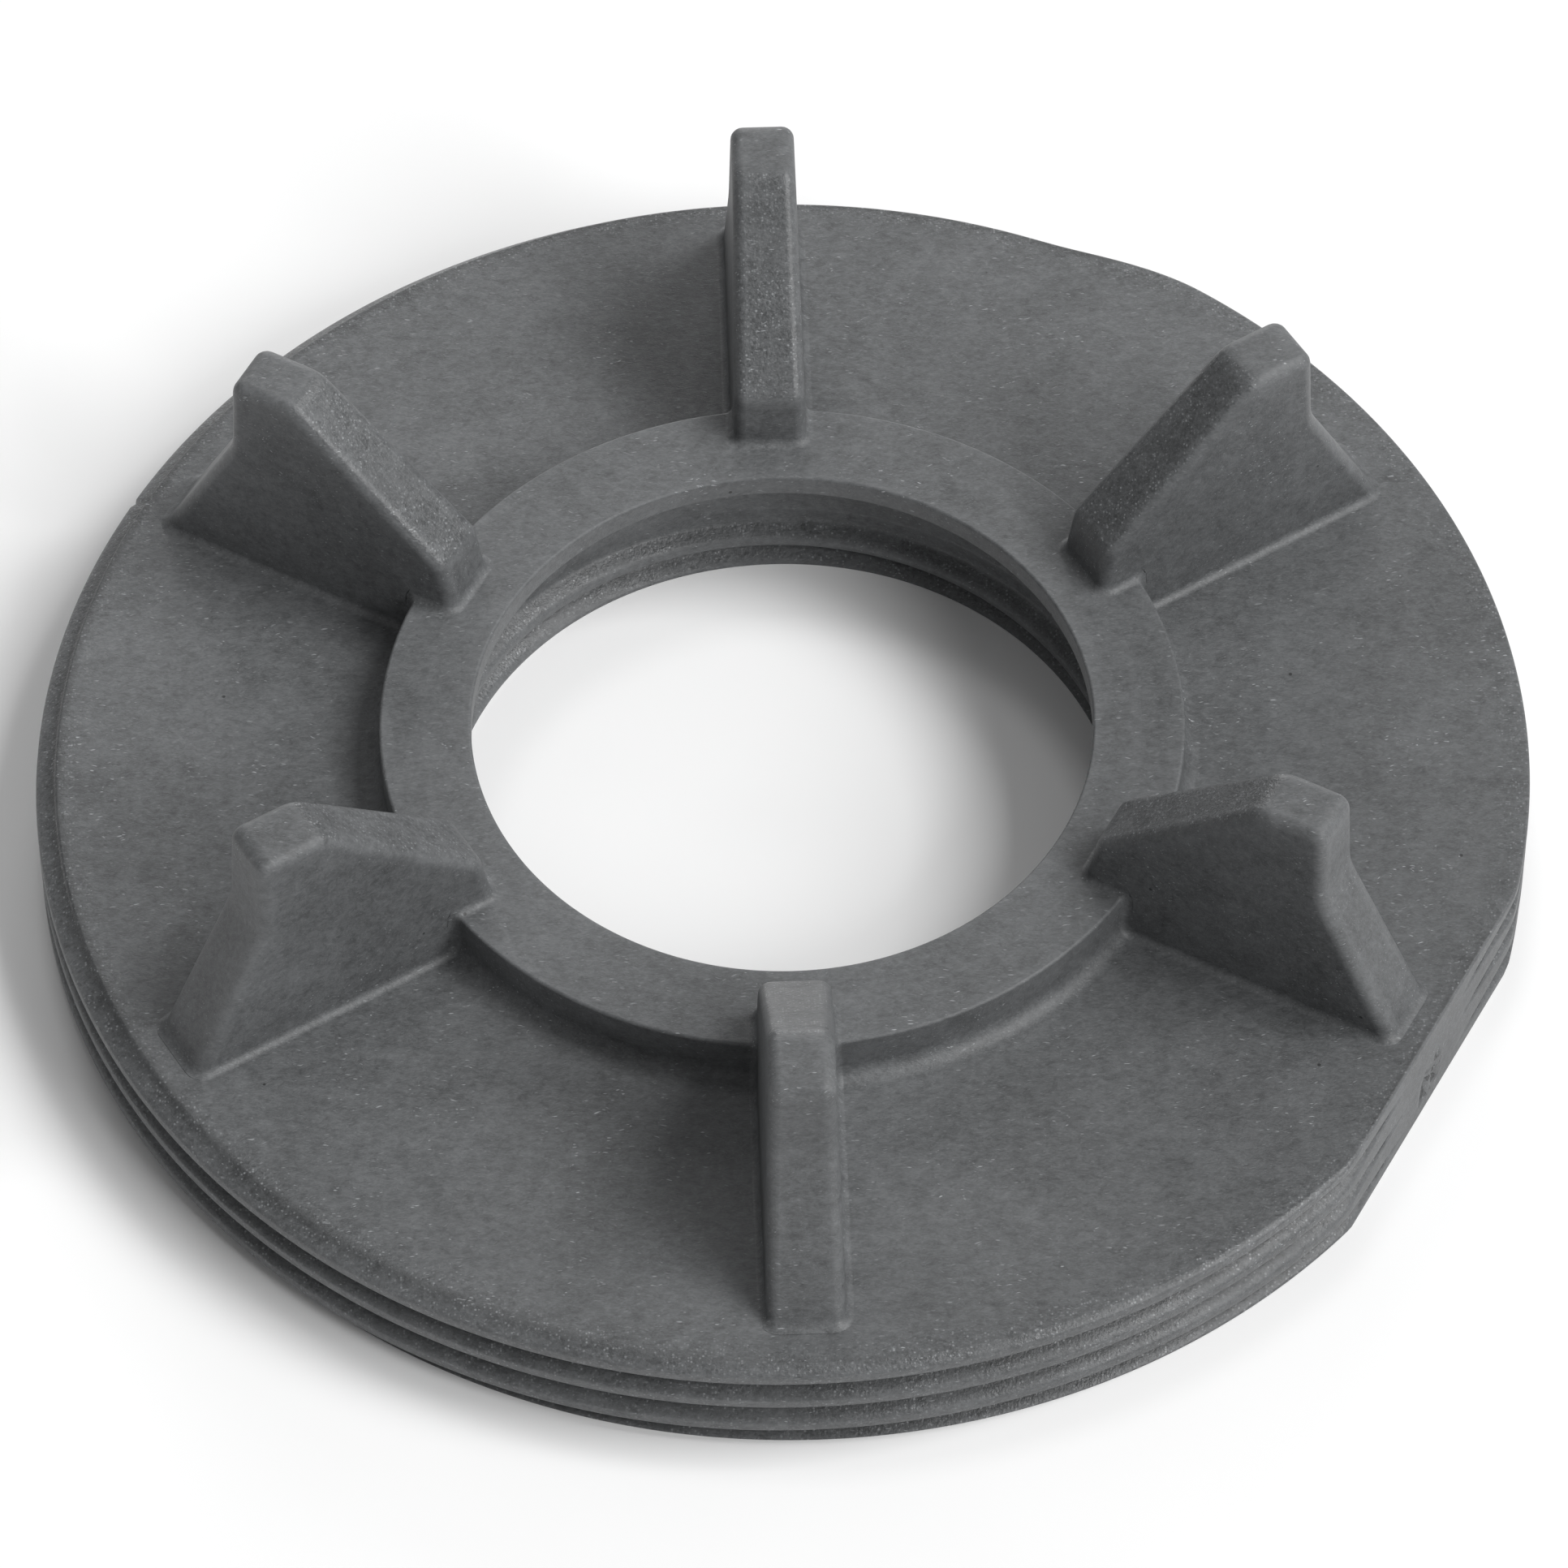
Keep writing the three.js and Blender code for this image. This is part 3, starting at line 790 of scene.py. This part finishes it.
def grain_layers(n, mm, grain_zone, hollow):
    """Where the plastic is coarse, and the painted glints and dark pits there."""
    patch = n.span(n.noise(mm, 0.2, 2.0), 0.35, 0.6, 0.45, 1.0)
    zone = n.math("MULTIPLY", n.span(grain_zone, GRAIN_FINE, GRAIN_COARSE), patch)
    # The fillets count as coarse too, so they get painted glints and pits.
    zone = n.math("ADD", zone, n.math("MULTIPLY", hollow, 0.25), clamp=True)
    distance, tone = n.cells(mm, 4.6)
    # Painted glints: pale points that stand in for light caught by the coarse grain.
    painted_glint = n.math("MULTIPLY", n.span(distance, 0.24, 0.5, 1.0, 0.0), n.span(tone, 0.72, 0.98))
    painted_glint = n.math("MULTIPLY", painted_glint, zone)
    pit = n.math("MULTIPLY", n.span(tone, 0.3, 0.1), zone)
    return zone, painted_glint, pit


def dark_specks(n, mm):
    distance, tone = n.cells(mm, 0.33)
    return n.math("MULTIPLY", n.span(distance, 0.035, 0.055, 1.0, 0.0), n.math("GREATER_THAN", tone, 0.88))


def flow_shade(n, flow, grain_zone):
    """Painted light and shade: paler far from the gate, as painted light falling off across the flange; a
    little darker on the coarse grain, as painted shade in its cavities; much darker in the rim's grooves, as
    painted shade.
    """
    shade = n.math("MULTIPLY", n.span(flow, 10.0, 112.0, 0.92, 1.16),
                   n.span(grain_zone, GRAIN_FINE, GRAIN_COARSE, 1.0, 0.95))
    return n.math("MULTIPLY", shade, n.span(grain_zone, GRAIN_COARSE, GRAIN_GROOVE_SHADE, 1.0, 0.55))


def plastic_layers(n):
    """The patterns that the plastic's colour, roughness and relief are mixed from."""
    position = n.add("ShaderNodeTexCoord").outputs["Object"]
    mm = n.mapping(position, scale=(1 / MM, 1 / MM, 1 / MM))
    layer = {name: n.attribute(name) for name in ("grain", "edge", "hollow")}
    layer["clouds"] = n.noise(mm, 0.085, 4.0, 0.6, 0.6)
    layer["mottle"] = n.noise(mm, 0.5, 5.0, 0.7)
    felt_lie = n.mapping(mm, rotation=(0, 0, 0.3), scale=(0.7, 1.25, 1.0))
    layer["felt"] = n.noise(felt_lie, 1.7, 5.0, 0.78, 0.5)
    layer["grit"] = n.noise(mm, 3.6, 2.0, 0.6)
    from_gate = n.add("ShaderNodeVectorMath", {0: mm, 1: GATE_POINT}, operation="DISTANCE")
    layer["flow"] = from_gate.outputs["Value"]
    layer["pale"], bare, layer["dark"] = fibre_layers(n, mm)
    tangle = n.span(n.noise(mm, 0.14, 3.0, 0.6), 0.44, 0.62)
    layer["bare"] = n.math("MULTIPLY", bare, n.math("ADD", n.math("MULTIPLY", tangle, 0.85), 0.15))
    layer["coarse"], layer["painted_glint"], layer["pit"] = grain_layers(n, mm, layer["grain"], layer["hollow"])
    layer["speck"] = dark_specks(n, mm)
    torn = n.span(n.noise(mm, 1.6, 3.0), 0.53, 0.6)
    layer["scar"] = n.math("MULTIPLY", n.span(layer["flow"], 1.0, 2.1, 1.0, 0.0), torn)
    return layer


def plastic_colour(n, layer):
    """Clouded resin under fibres that show through, then the marks on top: paler outer edges, a painted
    highlight in the hollows, dark pits, painted glints, bare fibres, dark specks and the gate's scar.
    """
    tone = n.math("ADD", n.math("MULTIPLY", layer["clouds"], 0.25), n.math("MULTIPLY", layer["mottle"], 0.27))
    tone = n.math("ADD", tone, n.math("MULTIPLY", layer["felt"], 0.48))
    colour = n.mix(n.span(tone, 0.38, 0.62), grey(0.058), grey(0.14))
    for name, strength, level in (("pale", 0.3, 0.19), ("dark", 0.3, 0.045)):
        colour = n.mix(n.math("MULTIPLY", layer[name], strength), colour, grey(level))
    # Painted light falloff away from the gate, and painted shade on the coarse grain and in the rim's
    # grooves.
    shade = flow_shade(n, layer["flow"], layer["grain"])
    colour = n.add("ShaderNodeVectorMath", {0: colour, 3: shade}, operation="SCALE").outputs[0]
    # The outer edges turn paler; the hollows get a painted highlight and the coarse grain painted glints.
    for name, strength, level in (("edge", 0.12, 0.2), ("hollow", 0.04, 0.22), ("pit", 0.4, 0.035),
                                  ("painted_glint", 0.42, 0.5), ("bare", 0.7, 0.5), ("speck", 0.85, 0.015),
                                  ("scar", 0.8, 0.02)):
        colour = n.mix(n.math("MULTIPLY", layer[name], strength), colour, grey(level))
    return colour


def plastic_roughness(n, layer):
    """Bare fibres and the coarse grain catch the light."""
    rough = n.span(layer["mottle"], 0.3, 0.7, 0.46, 0.6)
    rough = n.math("SUBTRACT", rough, n.math("MULTIPLY", layer["coarse"], 0.16))
    rough = n.math("SUBTRACT", rough, n.math("MULTIPLY", layer["bare"], 0.15))
    return n.math("SUBTRACT", rough, n.math("MULTIPLY", layer["painted_glint"], 0.12), clamp=True)


def plastic_relief(n, layer):
    """Height of the surface in millimetres."""
    grit_height = n.math("ADD", n.math("MULTIPLY", layer["coarse"], 0.05), 0.012)
    relief = n.math("MULTIPLY", layer["grit"], grit_height)
    for name, height in (("felt", 0.03), ("pale", 0.006), ("clouds", 0.06)):
        relief = n.math("ADD", relief, n.math("MULTIPLY", layer[name], height))
    return n.math("SUBTRACT", relief, n.math("MULTIPLY", layer["scar"], 0.15))


def moulded_plastic():
    """Glass-filled plastic: cloudy resin with short fibres in it, and a coarse grain on the cut faces."""
    n = Nodes("glass_filled_plastic")
    layer = plastic_layers(n)
    bump = n.add("ShaderNodeBump", {"Height": plastic_relief(n, layer), "Strength": 1.0, "Distance": MM})
    n.feed(n.shader.inputs["Base Color"], plastic_colour(n, layer))
    n.feed(n.shader.inputs["Roughness"], plastic_roughness(n, layer))
    n.feed(n.shader.inputs["Normal"], bump.outputs[0])
    n.shader.inputs["Specular IOR Level"].default_value = 0.5
    return n.material


# ---- stage, lights and camera ----
VIEW_ANGLE = -91.7              # the camera's azimuth
VIEW_RISE = 52.16               # its height over the web's plane, in degrees
VIEW_DISTANCE = 0.7116
VIEW_DROP = 0.399               # the lens points this many degrees below the middle of the collar's top
VIEW_SIDE = -0.0155             # and this many to its side
VIEW_ROLL = -0.26
LENS = 214.5
SENSOR = 36.0
FLOOR_HALF = 3.0                # in metres, like all that follows
LIGHT_DISTANCE = 2.7


def direction(azimuth, rise):
    """A unit vector, from an azimuth and a height over the web's plane in degrees."""
    a, e = math.radians(azimuth), math.radians(rise)
    return np.array([math.cos(e) * math.cos(a), math.cos(e) * math.sin(a), math.sin(e)])


def look_rotation(forward, roll=0.0):
    quaternion = Vector(forward).to_track_quat("-Z", "Y")
    return (quaternion.to_matrix() @ Matrix.Rotation(math.radians(roll), 3, "Z")).to_euler()


def add_camera():
    target = np.array([0.0, 0.0, COLLAR_TOP * MM])
    place = target + VIEW_DISTANCE * direction(VIEW_ANGLE, VIEW_RISE)
    data = bpy.data.cameras.new("view")
    data.lens = LENS
    data.sensor_width = SENSOR
    data.clip_start = 0.01
    data.clip_end = 20.0
    camera = bpy.data.objects.new("view", data)
    camera.location = place
    forward = -direction(VIEW_ANGLE + VIEW_SIDE, VIEW_RISE + VIEW_DROP)
    camera.rotation_euler = look_rotation(forward, VIEW_ROLL)
    bpy.context.scene.collection.objects.link(camera)
    bpy.context.scene.camera = camera


def soft_light(name, azimuth, rise, size, power):
    """A square studio light that faces the flange."""
    data = bpy.data.lights.new(name, "AREA")
    data.shape = "SQUARE"
    data.size = size
    data.energy = power
    light = bpy.data.objects.new(name, data)
    away = direction(azimuth, rise)
    light.location = LIGHT_DISTANCE * away
    light.rotation_euler = look_rotation(-away)
    bpy.context.scene.collection.objects.link(light)


def add_floor():
    mesh = bpy.data.meshes.new("floor")
    corners = [(x * FLOOR_HALF, y * FLOOR_HALF, 0) for x, y in ((-1, -1), (1, -1), (1, 1), (-1, 1))]
    mesh.from_pydata(corners, [], [(0, 1, 2, 3)])
    floor = bpy.data.objects.new("floor", mesh)
    bpy.context.scene.collection.objects.link(floor)
    n = Nodes("pale_floor")
    position = n.add("ShaderNodeTexCoord").outputs["Object"]
    speckle = n.noise(position, 40.0, 2.0)
    n.feed(n.shader.inputs["Base Color"], n.mix(speckle, (0.95, 0.95, 0.95, 1), (0.98, 0.98, 0.98, 1)))
    n.shader.inputs["Roughness"].default_value = 0.9
    mesh.materials.append(n.material)


def add_world():
    world = bpy.data.worlds.new("studio")
    world.use_nodes = True
    background = world.node_tree.nodes["Background"]
    background.inputs["Color"].default_value = (1.0, 1.0, 1.0, 1.0)
    background.inputs["Strength"].default_value = 0.22
    bpy.context.scene.world = world
    bpy.context.scene.view_settings.view_transform = "Standard"


add_camera()
add_floor()
add_world()
soft_light("key_front_right", -40, 36, 1.2, 38)
soft_light("key_high_right", 0, 55, 1.1, 40)
soft_light("top_back", 100, 72, 0.6, 6)
soft_light("fill_back", 92, 16, 1.5, 25)

plastic = moulded_plastic()
pieces = {
    "bore_lip": bore_lip(),
    "hub_collar": hub_collar(),
    "bore_thread": bore_thread(),
    "web_disc": web_disc(),
    "rim_thread": rim_thread(),
}
for number, (lug, rib) in enumerate(zip(wrench_lugs(), under_ribs()), start=1):
    pieces[f"wrench_lug_{number}"] = lug
    pieces[f"under_rib_{number}"] = rib
for node, piece in pieces.items():
    piece.data.materials.append(plastic)
    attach(piece, "root")
    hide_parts(node)
